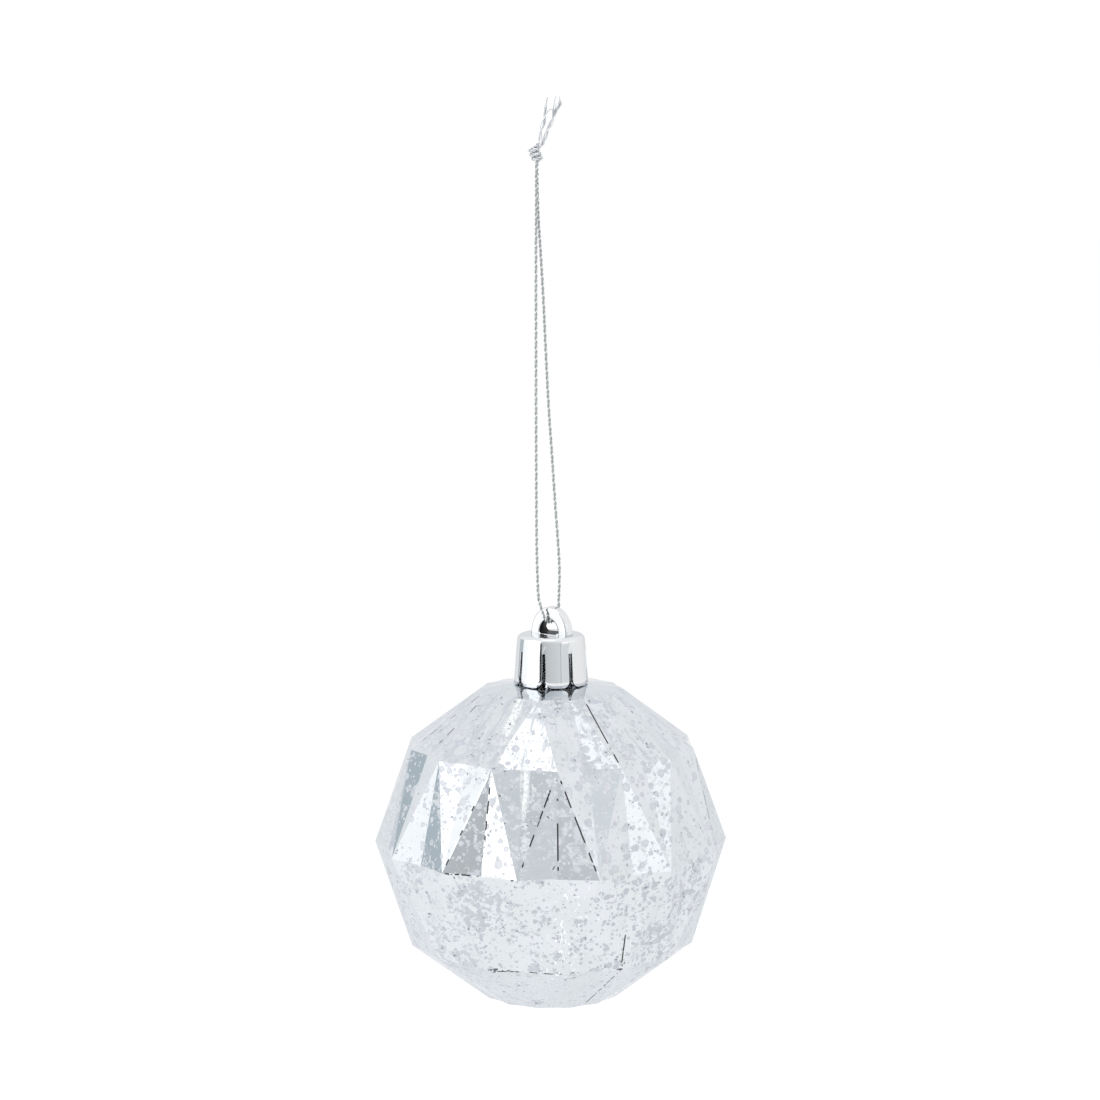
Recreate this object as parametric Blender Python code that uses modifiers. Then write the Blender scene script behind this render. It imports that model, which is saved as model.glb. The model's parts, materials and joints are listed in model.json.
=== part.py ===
"""A faceted, silvered ball ornament that hangs from a knotted cord loop.

The shell is one hollow faceted ball with a round neck. A slotted push-on cap grips the neck, and an
arched eye is moulded on top of the cap. One length of thin cord goes through the eye, and a knot ties
its two ends together.

Everything is in metres, with +Z up. The origin is where the ornament is held: the top of the cord loop,
right under the knot. The ball's, cap's and eye's heights are measured from the centre of the ball.
"""

import math

import bmesh
import bpy
from mathutils import Matrix, Vector

COLLECTION = "faceted_ball_ornament"

# The ball: five rings of corners, the middle one on the equator.
BALL_RADIUS = 0.040
CORNERS = 14
FRONT_CORNER_DEG = 2.3        # how far a corner of the upper ring is turned from the front, towards +X
SHOULDER_RADIUS = 0.0325      # the upper and lower rings
SHOULDER_HEIGHT = 0.0225
CROWN_RADIUS = 0.0160         # the top and bottom rings
CROWN_HEIGHT = 0.0350
EQUATOR_DENT = 0.0022         # how far the middle of an edge lies inside the corners
SHOULDER_DENT = 0.0015
CROWN_DENT = 0.0007
WALL = 0.0009

# The neck, a round tube on top of the ball.
NECK_FOOT_HEIGHT = 0.0363
NECK_FOOT_RADIUS = 0.0070
NECK_THROAT_HEIGHT = 0.0372   # the flared foot ends here
NECK_RADIUS = 0.0061
NECK_TOP_HEIGHT = 0.0455

# The cap: a tapered cup, open below, cut into eight fingers.
CAP_LOW = 0.0366
CAP_HIGH = 0.0470
CAP_RADIUS_LOW = 0.00826
CAP_RADIUS_HIGH = 0.00755
CAP_WALL = 0.0009
CAP_ROOF = 0.0011
CAP_EDGE = 0.0012             # radius of the rounded upper edge
CAP_STEPS = 64
FINGERS = 8
SLOT_WIDTH = 0.0010
SLOT_TOP = 0.0440
FINGER_CORNER = 0.0016        # radius of a finger's lower corners
FIRST_SLOT_DEG = -12.0        # a slot's place round the cap, from the front towards +X
CUTTER_NEAR = 0.0040          # the slot cutters reach from here to there, measured from the axis
CUTTER_FAR = 0.0110
CUTTER_BELOW = 0.0005         # and this far below the fingers

# The eye: a half-oval lug with a half-oval hole.
EYE_TURN_DEG = -34.5          # the way its front faces, from the front towards +X
EYE_HALF_WIDTH = 0.0047
EYE_HEIGHT = 0.0065
EYE_THICKNESS = 0.0028
EYE_EDGE = 0.0006             # radius of its rounded edges
EYE_ROOT = 0.0004             # how deep it stands in the roof of the cap
EYE_STEPS = 20                # sections over the arch
HOLE_HALF_WIDTH = 0.0027
HOLE_SPRING = 0.0005          # height over the roof at which the hole's sides start to close
HOLE_RISE = 0.0036

# The cord.
CORD_RADIUS = 0.00045
CORD_IN_EYE = 0.0501          # height of the cord's middle in the hole: the axis that the ball swings on
CORD_SAMPLES = 12             # on each stretch of the loop's route, before they are thinned out
CORD_SPACING = 0.0029         # between the loop's points where it is straight
CORD_CLOSEST = 0.0007         # and where it bends
CORD_BEND_DEG = 1.5           # a bend from one sample to the next that asks for a point
TAIL_SAMPLES = 3
KNOT_CENTRE = (-0.0004, 0.0, 0.0019)
KNOT_RADII = (0.00145, 0.0014, 0.0019)
KNOT_LEAN_DEG = -22.0
KNOT_SEGMENTS = 16
KNOT_RINGS = 10

# Where the ball hangs, seen from the origin.
BALL_CENTRE = Vector((0.0030, 0.0, -0.1528))


def clear_scene():
    for obj in list(bpy.data.objects):
        bpy.data.objects.remove(obj, do_unlink=True)


def new_collection(name, hidden=False):
    collection = bpy.data.collections.new(name)
    bpy.context.scene.collection.children.link(collection)
    collection.hide_render = hidden
    return collection


def new_material(name, colour, roughness, metallic):
    material = bpy.data.materials.new(name)
    material.use_nodes = True
    shader = material.node_tree.nodes["Principled BSDF"]
    shader.inputs["Base Color"].default_value = (*colour, 1.0)
    shader.inputs["Roughness"].default_value = roughness
    shader.inputs["Metallic"].default_value = metallic
    return material


def link_object(name, data, collection, material=None):
    obj = bpy.data.objects.new(name, data)
    collection.objects.link(obj)
    if material:
        data.materials.append(material)
    return obj


def mesh_from(bm, name):
    mesh = bpy.data.meshes.new(name)
    bm.to_mesh(mesh)
    bm.free()
    return mesh


def mesh_of_curve(obj, name):
    """The curve's solid as a mesh in world space, its caps welded to its sides. The curve is removed."""
    bpy.context.view_layer.update()
    graph = bpy.context.evaluated_depsgraph_get()
    mesh = bpy.data.meshes.new_from_object(obj.evaluated_get(graph))
    mesh.name = name
    mesh.transform(obj.matrix_world)
    bm = bmesh.new()
    bm.from_mesh(mesh)
    bmesh.ops.remove_doubles(bm, verts=bm.verts, dist=1e-6)
    bm.to_mesh(mesh)
    bm.free()
    bpy.data.objects.remove(obj, do_unlink=True)
    return mesh


def round_the_axis(radius, degrees, height):
    """A point round the ball's axis. Zero degrees faces the front, -Y, and the angle grows towards +X."""
    angle = math.radians(degrees)
    return Vector((radius * math.sin(angle), -radius * math.cos(angle), height))


# ---------------------------------------------------------------- ball


def dented_ring(bm, radius, dent, height, corners_on_even):
    """Two points for each corner: the corner itself, and the dented middle of the edge that follows it."""
    step = 180.0 / CORNERS
    ring = []
    for index in range(2 * CORNERS):
        is_corner = (index % 2 == 0) == corners_on_even
        reach = radius if is_corner else radius - dent
        ring.append(bm.verts.new(round_the_axis(reach, FRONT_CORNER_DEG + index * step, height)))
    return ring


def round_ring(bm, radius, height):
    return dented_ring(bm, radius, 0.0, height, True)


def join_rings(bm, upper, lower, ridge_from_even):
    """Two triangles between each pair of neighbours. The ridge goes from a corner above to a corner below."""
    count = len(upper)
    for index in range(count):
        after = (index + 1) % count
        if (index % 2 == 0) == ridge_from_even:
            bm.faces.new((upper[index], lower[index], lower[after]))
            bm.faces.new((upper[index], lower[after], upper[after]))
        else:
            bm.faces.new((upper[index], lower[index], upper[after]))
            bm.faces.new((upper[after], lower[index], lower[after]))


def join_round_rings(bm, upper, lower):
    count = len(upper)
    for index in range(count):
        after = (index + 1) % count
        bm.faces.new((upper[index], lower[index], lower[after], upper[after]))


def build_ball(collection):
    """The outer skin from the lip of the neck down to the flat base, thickened inwards."""
    bm = bmesh.new()
    lip = round_ring(bm, NECK_RADIUS, NECK_TOP_HEIGHT)
    throat = round_ring(bm, NECK_RADIUS, NECK_THROAT_HEIGHT)
    foot = round_ring(bm, NECK_FOOT_RADIUS, NECK_FOOT_HEIGHT)
    crown = dented_ring(bm, CROWN_RADIUS, CROWN_DENT, CROWN_HEIGHT, False)
    shoulder = dented_ring(bm, SHOULDER_RADIUS, SHOULDER_DENT, SHOULDER_HEIGHT, True)
    equator = dented_ring(bm, BALL_RADIUS, EQUATOR_DENT, 0.0, False)
    low_shoulder = dented_ring(bm, SHOULDER_RADIUS, SHOULDER_DENT, -SHOULDER_HEIGHT, True)
    base = dented_ring(bm, CROWN_RADIUS, CROWN_DENT, -CROWN_HEIGHT, False)
    join_round_rings(bm, lip, throat)
    join_round_rings(bm, throat, foot)
    join_round_rings(bm, foot, crown)
    join_rings(bm, crown, shoulder, False)
    join_rings(bm, shoulder, equator, True)
    join_rings(bm, equator, low_shoulder, False)
    join_rings(bm, low_shoulder, base, True)
    bm.faces.new(list(reversed(base)))
    ball = link_object("ball_shell", mesh_from(bm, "ball_shell"), collection)
    ball.data.materials.append(new_material("silvered_shell", (0.78, 0.80, 0.84), 0.08, 0.85))
    ball.location = BALL_CENTRE
    skin = ball.modifiers.new("wall", "SOLIDIFY")
    skin.thickness = WALL
    skin.offset = -1.0
    skin.use_even_offset = True
    return ball


# ---------------------------------------------------------------- cap


def arc(centre, radius, start_deg, end_deg, steps):
    """Points on an arc, as (across, up) pairs."""
    points = []
    for index in range(steps + 1):
        angle = math.radians(start_deg + (end_deg - start_deg) * index / steps)
        points.append((centre[0] + radius * math.cos(angle), centre[1] + radius * math.sin(angle)))
    return points


def cup_profile():
    """The cup's half section, from the axis over the roof, down the outside and back up the inside."""
    inner_low = CAP_RADIUS_LOW - CAP_WALL
    inner_high = CAP_RADIUS_HIGH - CAP_WALL
    edge = arc((CAP_RADIUS_HIGH - CAP_EDGE, CAP_HIGH - CAP_EDGE), CAP_EDGE, 90.0, 0.0, 6)
    return [
        (0.0, CAP_HIGH),
        *edge,
        (CAP_RADIUS_LOW, CAP_LOW),
        (inner_low, CAP_LOW),
        (inner_high, CAP_HIGH - CAP_ROOF),
        (0.0, CAP_HIGH - CAP_ROOF),
    ]


def build_cup(collection, material):
    profile = cup_profile()
    bm = bmesh.new()
    verts = [bm.verts.new((across, 0.0, up)) for across, up in profile]
    for first, second in zip(verts, verts[1:]):
        bm.edges.new((first, second))
    cap = link_object("cap", mesh_from(bm, "cap"), collection, material)
    turn = cap.modifiers.new("turn", "SCREW")
    turn.steps = CAP_STEPS
    turn.render_steps = CAP_STEPS
    turn.use_merge_vertices = True
    turn.merge_threshold = 1e-5
    cap.location = BALL_CENTRE
    return cap


def slot_outline():
    """A slot seen from outside: square at the top, and flaring at the foot to round the fingers' corners."""
    half = SLOT_WIDTH / 2
    foot = CAP_LOW - CUTTER_BELOW
    right = arc((half + FINGER_CORNER, CAP_LOW + FINGER_CORNER), FINGER_CORNER, 180.0, 270.0, 5)
    right.append((half + FINGER_CORNER, foot))
    left = [(-across, up) for across, up in reversed(right)]
    return [(half, SLOT_TOP), *right, *left, (-half, SLOT_TOP)]


def flat_curve(name, outline, half_depth, collection):
    """A closed flat outline as a plate across X and up Z."""
    curve = bpy.data.curves.new(name, "CURVE")
    curve.dimensions = "2D"
    curve.fill_mode = "BOTH"
    curve.extrude = half_depth
    spline = curve.splines.new("POLY")
    spline.points.add(len(outline) - 1)
    for point, (across, up) in zip(spline.points, outline):
        point.co = (across, up, 0.0, 1.0)
    spline.use_cyclic_u = True
    obj = link_object(name, curve, collection)
    obj.rotation_euler = (math.radians(90.0), 0.0, 0.0)
    return obj


def build_slot_cutter(collection):
    """All eight slots in one mesh. Each body reaches from inside the cup to well outside it."""
    half_depth = (CUTTER_FAR - CUTTER_NEAR) / 2
    plate = flat_curve("slot_plate", slot_outline(), half_depth, collection)
    one = mesh_of_curve(plate, "slot_plate")
    one.transform(Matrix.Translation((0.0, -CUTTER_NEAR - half_depth, 0.0)))
    bm = bmesh.new()
    for finger in range(FINGERS):
        copy = one.copy()
        angle = math.radians(FIRST_SLOT_DEG + finger * 360.0 / FINGERS)
        copy.transform(Matrix.Rotation(angle, 4, "Z"))
        bm.from_mesh(copy)
        bpy.data.meshes.remove(copy)
    bmesh.ops.recalc_face_normals(bm, faces=bm.faces)
    cutter = link_object("slot_cutter", mesh_from(bm, "slot_cutter"), collection)
    bpy.data.meshes.remove(one)
    cutter.location = BALL_CENTRE
    cutter.hide_render = True
    cutter.display_type = "WIRE"
    return cutter


def eye_sections():
    """Inner and outer ends of the arch's sections, from one foot over the top to the other foot."""
    sections = []
    for index in range(EYE_STEPS + 1):
        angle = math.pi * index / EYE_STEPS
        outer = Vector((EYE_HALF_WIDTH * math.cos(angle), EYE_HEIGHT * math.sin(angle)))
        inner = Vector((HOLE_HALF_WIDTH * math.cos(angle), HOLE_SPRING + HOLE_RISE * math.sin(angle)))
        sections.append((inner, outer))
    for side, place in ((1, 0), (-1, len(sections) + 1)):
        foot = (Vector((side * HOLE_HALF_WIDTH, -EYE_ROOT)), Vector((side * EYE_HALF_WIDTH, -EYE_ROOT)))
        sections.insert(place, foot)
    return sections


def rounded_section(bm, inner, outer):
    """A rounded rectangle from the inner to the outer end, as thick as the eye."""
    along = (outer - inner).normalized()
    half = EYE_THICKNESS / 2 - EYE_EDGE
    ring = []
    for corner, (end, side, start_deg) in enumerate(((outer, 1, 0.0), (inner, 1, 90.0),
                                                     (inner, -1, 180.0), (outer, -1, 270.0))):
        inwards = -1 if corner in (0, 3) else 1
        centre = end + inwards * EYE_EDGE * along
        for out, depth in arc((0.0, side * half), EYE_EDGE, start_deg, start_deg + 90.0, 2):
            place = centre + out * along
            ring.append(bm.verts.new((place.x, depth, place.y)))
    return ring


def build_eye(collection):
    """The eye as an arch of rounded section, standing a little way into the roof of the cap."""
    bm = bmesh.new()
    rings = [rounded_section(bm, inner, outer) for inner, outer in eye_sections()]
    for first, second in zip(rings, rings[1:]):
        join_round_rings(bm, first, second)
    bm.faces.new(rings[0])
    bm.faces.new(list(reversed(rings[-1])))
    bmesh.ops.recalc_face_normals(bm, faces=bm.faces)
    eye = link_object("eye_solid", mesh_from(bm, "eye_solid"), collection)
    eye.rotation_euler = (0.0, 0.0, math.radians(EYE_TURN_DEG))
    eye.location = BALL_CENTRE + Vector((0.0, 0.0, CAP_HIGH))
    eye.hide_render = True
    eye.display_type = "WIRE"
    return eye


def build_cap(parts, cutters):
    chrome = new_material("bright_plating", (0.86, 0.87, 0.89), 0.05, 1.0)
    cap = build_cup(parts, chrome)
    for name, operation, other in (
        ("slots", "DIFFERENCE", build_slot_cutter(cutters)),
        ("eye", "UNION", build_eye(cutters)),
    ):
        boolean = cap.modifiers.new(name, "BOOLEAN")
        boolean.operation = operation
        boolean.object = other
        boolean.solver = "EXACT"
    return cap


# ---------------------------------------------------------------- cord


def eye_point(across, through, up):
    """A point across the eye's face, through its hole to the back, and up from the cord in the hole."""
    turned = Matrix.Rotation(math.radians(EYE_TURN_DEG), 3, "Z") @ Vector((across, through, 0.0))
    return BALL_CENTRE + turned + Vector((0.0, 0.0, CORD_IN_EYE + up))


def strand_route():
    """The loop's own points, by hand: down the front strand, through the eye, and up the back strand."""
    front = [
        (-0.00025, -0.00052, -0.0003),
        (-0.00030, -0.00052, -0.0110),
        (-0.00035, -0.00060, -0.0200),
        (-0.00036, -0.00080, -0.0350),
        (-0.00036, -0.00100, -0.0540),
        (-0.00030, -0.00130, -0.0750),
        (-0.00020, -0.00150, -0.0865),
        (0.00000, -0.00145, -0.0935),
        (0.00022, -0.00135, -0.0972),
    ]
    back = [
        (0.00475, 0.00170, -0.0976),
        (0.00490, 0.00160, -0.0922),
        (0.00470, 0.00150, -0.0868),
        (0.00391, 0.00145, -0.0759),
        (0.00320, 0.00130, -0.0650),
        (0.00246, 0.00115, -0.0542),
        (0.00177, 0.00090, -0.0408),
        (0.00128, 0.00070, -0.0301),
        (0.00066, 0.00055, -0.0195),
        (0.00015, 0.00052, -0.0110),
        (-0.00010, 0.00052, -0.0003),
    ]
    eye = [
        eye_point(-0.00105, -0.00235, 0.0034),
        eye_point(-0.00055, -0.00230, 0.0021),
        eye_point(-0.00020, -0.00185, 0.0008),
        eye_point(0.0, -0.00090, 0.00012),
        eye_point(0.0, 0.00090, 0.00012),
        eye_point(0.00020, 0.00185, 0.0008),
        eye_point(0.00045, 0.00230, 0.0021),
        eye_point(0.00050, 0.00235, 0.0034),
    ]
    return [Vector(p) for p in front] + eye + [Vector(p) for p in back]


def tail_routes():
    """The two ends above the knot, by hand. They lean towards +X and spread apart."""
    left = [(0.00030, 0.0, 0.0045), (0.00085, 0.0, 0.0075), (0.00145, 0.0, 0.0096), (0.00210, 0.0, 0.0143)]
    right = [(0.00115, 0.0, 0.0041), (0.00240, 0.0, 0.0075), (0.00345, 0.0, 0.0097), (0.00480, 0.0, 0.0133)]
    return {"cord_tail_left": left, "cord_tail_right": right}


def smooth_curve(points, samples):
    """Points on a Catmull-Rom curve through the route, each stretch taking the same number of samples."""
    ends = [2 * points[0] - points[1], *points, 2 * points[-1] - points[-2]]
    line = []
    for index in range(len(points) - 1):
        before, start, end, after = ends[index:index + 4]
        for step in range(samples):
            t = step / samples
            line.append(
                0.5 * (2 * start + (end - before) * t
                       + (2 * before - 5 * start + 4 * end - after) * t ** 2
                       + (3 * start - before - 3 * end + after) * t ** 3)
            )
    line.append(points[-1])
    return line


def thin_out(line):
    """Fewer points on the line, closer together where it bends."""
    kept = [line[0]]
    for index in range(1, len(line) - 1):
        step = (line[index] - kept[-1]).length
        bend = (line[index] - line[index - 1]).angle(line[index + 1] - line[index], 0.0)
        if step >= CORD_SPACING or (step >= CORD_CLOSEST and bend > math.radians(CORD_BEND_DEG)):
            kept.append(line[index])
    if (line[-1] - kept[-1]).length < CORD_CLOSEST:
        kept.pop()
    kept.append(line[-1])
    return kept


def tube(name, line, collection, material):
    curve = bpy.data.curves.new(name, "CURVE")
    curve.dimensions = "3D"
    curve.bevel_depth = CORD_RADIUS
    curve.bevel_resolution = 2
    curve.use_fill_caps = True
    spline = curve.splines.new("POLY")
    spline.points.add(len(line) - 1)
    for point, place in zip(spline.points, line):
        point.co = (*place, 1.0)
    return link_object(name, curve, collection, material)


def build_knot(collection, material):
    bm = bmesh.new()
    bmesh.ops.create_uvsphere(bm, u_segments=KNOT_SEGMENTS, v_segments=KNOT_RINGS, radius=1.0)
    knot = link_object("cord_knot", mesh_from(bm, "cord_knot"), collection, material)
    shape = Matrix.Rotation(math.radians(KNOT_LEAN_DEG), 4, "Y") @ Matrix.Diagonal((*KNOT_RADII, 1.0))
    knot.data.transform(shape)
    knot.data.shade_smooth()
    knot.location = KNOT_CENTRE
    return knot


def build_cord(collection):
    thread = new_material("silver_thread", (0.62, 0.64, 0.67), 0.35, 0.8)
    tube("cord_loop", thin_out(smooth_curve(strand_route(), CORD_SAMPLES)), collection, thread)
    for name, route in tail_routes().items():
        line = smooth_curve([Vector(p) for p in route], TAIL_SAMPLES)
        tube(name, line, collection, thread)
    build_knot(collection, thread)


def main():
    clear_scene()
    parts = new_collection(COLLECTION)
    cutters = new_collection("cutters", hidden=True)
    build_ball(parts)
    build_cap(parts, cutters)
    build_cord(parts)


main()
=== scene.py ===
"""Looks for a faceted, silvered ball ornament on a knotted metallic thread.

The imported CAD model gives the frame. The ball, the cap and the thread are rebuilt here as finer pieces
of the same size, give or take half a millimetre on the cap and its eye. Everything is in metres, with +Z
up, and the origin is under the knot, where the ornament is held.
"""

import json
import math

import bmesh
import bpy
import numpy as np
from mathutils import Matrix, Vector


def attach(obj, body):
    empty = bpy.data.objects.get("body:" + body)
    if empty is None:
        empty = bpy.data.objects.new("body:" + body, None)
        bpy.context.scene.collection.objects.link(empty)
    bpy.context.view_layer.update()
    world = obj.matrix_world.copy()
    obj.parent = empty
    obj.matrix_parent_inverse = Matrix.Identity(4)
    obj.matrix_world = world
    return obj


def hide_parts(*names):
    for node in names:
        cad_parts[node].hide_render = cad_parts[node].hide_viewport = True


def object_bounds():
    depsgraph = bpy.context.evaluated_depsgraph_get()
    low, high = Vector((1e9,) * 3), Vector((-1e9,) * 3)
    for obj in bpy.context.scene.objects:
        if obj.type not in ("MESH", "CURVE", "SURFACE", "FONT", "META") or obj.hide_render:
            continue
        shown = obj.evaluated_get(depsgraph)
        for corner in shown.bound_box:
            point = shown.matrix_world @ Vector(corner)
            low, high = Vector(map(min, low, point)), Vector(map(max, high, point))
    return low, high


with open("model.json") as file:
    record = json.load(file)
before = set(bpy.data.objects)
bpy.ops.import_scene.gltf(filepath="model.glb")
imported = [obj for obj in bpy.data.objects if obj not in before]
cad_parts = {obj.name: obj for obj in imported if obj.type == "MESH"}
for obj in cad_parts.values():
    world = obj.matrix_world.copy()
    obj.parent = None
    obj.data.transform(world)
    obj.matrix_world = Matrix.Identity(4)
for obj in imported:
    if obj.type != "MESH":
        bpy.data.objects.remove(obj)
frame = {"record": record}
cad_low, cad_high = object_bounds()

MM = 0.001

# ---- driving dimensions

BALL_RADIUS = 40.0 * MM
CORNERS = 14
FRONT_CORNER_DEG = 2.3
SHOULDER_RADIUS = 32.5 * MM
SHOULDER_HEIGHT = 22.5 * MM
CROWN_RADIUS = 16.0 * MM
CROWN_HEIGHT = 35.0 * MM
EQUATOR_DENT = 2.2 * MM
SHOULDER_DENT = 1.5 * MM
CROWN_DENT = 0.7 * MM
WALL = 0.9 * MM

NECK_FOOT_HEIGHT = 36.3 * MM
NECK_FOOT_RADIUS = 7.0 * MM
NECK_THROAT_HEIGHT = 37.2 * MM
NECK_RADIUS = 6.1 * MM
NECK_TOP_HEIGHT = 45.5 * MM

CAP_LOW = 36.36 * MM  # nearer the ball than in the CAD, which keeps clear of it
CAP_HIGH = 47.5 * MM
CAP_RADIUS_LOW = 8.42 * MM
CAP_RADIUS_HIGH = 7.65 * MM
CAP_WALL = 0.9 * MM
CAP_EDGE = 1.2 * MM
FINGERS = 8
SLOT_WIDTH = 1.0 * MM
SLOT_TOP = 44.0 * MM
CUP_MIDDLE = 40.0 * MM
FINGER_CORNER = 1.6 * MM
FIRST_SLOT_DEG = -12.0

EYE_TURN_DEG = -34.5
EYE_SHIFT = 0.25 * MM  # along its own width, off the cap's axis
EYE_HALF_WIDTH = 5.0 * MM
EYE_HEIGHT = 6.2 * MM
EYE_THICKNESS = 2.8 * MM
EYE_EDGE = 0.6 * MM
EYE_ROOT = 0.4 * MM
HOLE_HALF_WIDTH = 2.35 * MM
HOLE_SPRING = 0.45 * MM
HOLE_RISE = 2.90 * MM

CORD_IN_EYE = 50.1 * MM

mounts = {mount["name"]: mount for mount in frame["record"]["mounts"]}
hang_point, base_face = mounts["hang_point"], mounts["base_face"]
BALL_CENTRE = Vector(base_face["pos_m"]) + Vector((0.0, 0.0, CROWN_HEIGHT))


# ---- camera, floor and light


CAMERA_DISTANCE = 0.650
CAMERA_PITCH_DEG = 7.54
CAMERA_LENS = 94.6
AIM_OVER_BALL = Vector((-0.24 * MM, 0.0, 66.5 * MM))


def build_camera():
    """The camera looks slightly down at a point on the cord, over the ball."""
    pitch = math.radians(CAMERA_PITCH_DEG)
    data = bpy.data.cameras.new("camera")
    data.lens = CAMERA_LENS
    data.clip_start = 0.01
    data.clip_end = 50.0
    camera = link("camera", data)
    back = Vector((0.0, -math.cos(pitch), math.sin(pitch)))
    camera.location = BALL_CENTRE + AIM_OVER_BALL + CAMERA_DISTANCE * back
    camera.rotation_euler = (math.radians(90.0) - pitch, 0.0, 0.0)
    bpy.context.scene.camera = camera


def link(name, data, *materials):
    """A new object in the scene, with those materials in that order."""
    obj = bpy.data.objects.new(name, data)
    bpy.context.scene.collection.objects.link(obj)
    for material in materials:
        data.materials.append(material)
    return obj


def mesh_from(bm, name):
    mesh = bpy.data.meshes.new(name)
    bm.to_mesh(mesh)
    bm.free()
    return mesh


def panel_place(azimuth, elevation, distance):
    """A matrix at that direction from the ball, with its own Z looking back at the ball."""
    a, e = math.radians(azimuth), math.radians(elevation)
    out = Vector((math.sin(a) * math.cos(e), -math.cos(a) * math.cos(e), math.sin(e)))
    turn = out.to_track_quat("Z", "Y").to_matrix().to_4x4()
    return Matrix.Translation(BALL_CENTRE + distance * out) @ turn


STUDIO_RADIUS = 1.3  # clear of the camera, which stands about half as far away
ROOM_BRIGHTNESS = 1.04
WHITE = (1.0, 1.0, 1.0)
COOL = (0.97, 1.0, 1.02)
BLUE = (0.88, 0.98, 1.05)
GREEN = (0.95, 1.0, 0.99)


def spread(low_deg, high_deg, distance=STUDIO_RADIUS):
    """The width of a flat panel that covers that range of directions."""
    return 2.0 * distance * math.tan(math.radians(high_deg - low_deg) / 2.0)


def area_light(name, width, depth, brightness, colour=WHITE):
    """A rectangular light that adds that much to the white room behind it."""
    light = bpy.data.lights.new(name, "AREA")
    light.shape = "RECTANGLE"
    light.size = width
    light.size_y = depth
    light.color = colour
    light.energy = brightness * math.pi * width * depth
    obj = link(name, light)
    obj.visible_camera = False
    return obj


def softbox(name, azimuths, elevations, brightness, colour=WHITE):
    """A light that fills those directions."""
    box = area_light(name, spread(*azimuths), spread(*elevations), brightness, colour)
    box.matrix_world = panel_place(sum(azimuths) / 2, sum(elevations) / 2, STUDIO_RADIUS)


def overhead_softbox(name, size, brightness, across, deep):
    """A light that faces down from that far across and behind the ball."""
    box = area_light(name, *size, brightness)
    box.location = BALL_CENTRE + Vector((across, deep, STUDIO_RADIUS))


def flag(name, azimuths, elevations, brightness, across=0.0, up=0.0, colour=COOL, nearer=1.0):
    """A grey card that only shows in reflections. It gets brighter across and up by those amounts."""
    distance = nearer * STUDIO_RADIUS
    bm = bmesh.new()
    bmesh.ops.create_grid(bm, x_segments=1, y_segments=1, size=0.5)
    obj = link(name, mesh_from(bm, name))
    size = Matrix.Diagonal((spread(*azimuths, distance), spread(*elevations, distance), 1.0, 1.0))
    obj.matrix_world = panel_place(sum(azimuths) / 2, sum(elevations) / 2, distance) @ size
    graph = Graph(name)
    place = graph.split(graph.place)
    level = graph.math("MULTIPLY_ADD", place[0], across, third=brightness)
    level = graph.math("MULTIPLY_ADD", place[1], up, third=level)
    graph.nodes.remove(graph.shader)
    emission = graph.nodes.new("ShaderNodeEmission")
    graph.feed(emission.inputs["Color"], colour)
    graph.feed(emission.inputs["Strength"], level)
    output = graph.nodes["Material Output"]
    graph.links.new(emission.outputs[0], output.inputs["Surface"])
    obj.data.materials.append(graph.material)
    obj.visible_camera = False
    obj.visible_diffuse = False
    obj.visible_shadow = False
    obj.visible_transmission = False


def build_room():
    """Plain colour handling, and white all round."""
    scene = bpy.context.scene
    scene.view_settings.view_transform = "Standard"
    scene.view_settings.look = "None"
    scene.view_settings.exposure = 0.0
    scene.view_settings.gamma = 1.0
    world = bpy.data.worlds.new("studio")
    world.use_nodes = True
    background = world.node_tree.nodes["Background"]
    background.inputs["Color"].default_value = (*WHITE, 1.0)
    background.inputs["Strength"].default_value = ROOM_BRIGHTNESS
    scene.world = world


def build_lights():
    """Where the lights and cards stand, in degrees round the ball from the front and up from its middle."""
    softbox("left_softbox", (-82.0, -37.5), (-16.0, 46.0), 0.75)
    softbox("left_edge_light", (-103.0, -82.0), (-16.0, 30.0), 0.22)
    softbox("right_softbox", (38.0, 61.0), (4.0, 27.0), 0.22, GREEN)
    softbox("high_right_softbox", (61.0, 90.0), (14.5, 27.0), 0.17, GREEN)
    overhead_softbox("top_softbox", (0.65, 0.75), 0.5, -0.125, -0.30)
    overhead_softbox("top_fill", (0.22, 0.30), 0.22, 0.31, 0.02)
    flag("blue_flag", (-128.0, -105.0), (-7.0, 17.0), 0.64, colour=BLUE)
    flag("front_flag", (-22.0, 36.0), (-13.0, 42.0), 0.79, across=0.20, up=0.25)
    flag("dark_flag", (-37.5, -22.0), (-13.0, 42.0), 0.66, up=0.40)
    flag("low_flag", (36.0, 66.0), (-13.0, 4.0), 0.83)
    flag("flag_frame", (-36.5, -31.5), (-13.0, 6.0), 0.02, nearer=0.95)
    flag("flag_seam", (30.0, 32.0), (-13.0, 20.0), 0.50, nearer=0.95)
    flag("edge_flag", (-30.0, 40.0), (-13.5, -6.5), 0.20, nearer=0.90)


FLOOR_DROP = 0.10
FLOOR_RADIUS = 12.0


def build_floor():
    """A plain pale floor, a little way below the hanging ball."""
    bm = bmesh.new()
    bmesh.ops.create_circle(bm, cap_ends=True, segments=96, radius=FLOOR_RADIUS)
    floor = link("floor", mesh_from(bm, "floor"))
    floor.location = (0.0, 0.0, cad_low.z - FLOOR_DROP)
    material = bpy.data.materials.new("floor")
    material.use_nodes = True
    shader = material.node_tree.nodes["Principled BSDF"]
    shader.inputs["Base Color"].default_value = (0.97, 0.97, 0.97, 1.0)
    shader.inputs["Roughness"].default_value = 1.0
    shader.inputs["Specular IOR Level"].default_value = 0.0
    floor.data.materials.append(material)


# ---- material helpers


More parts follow.
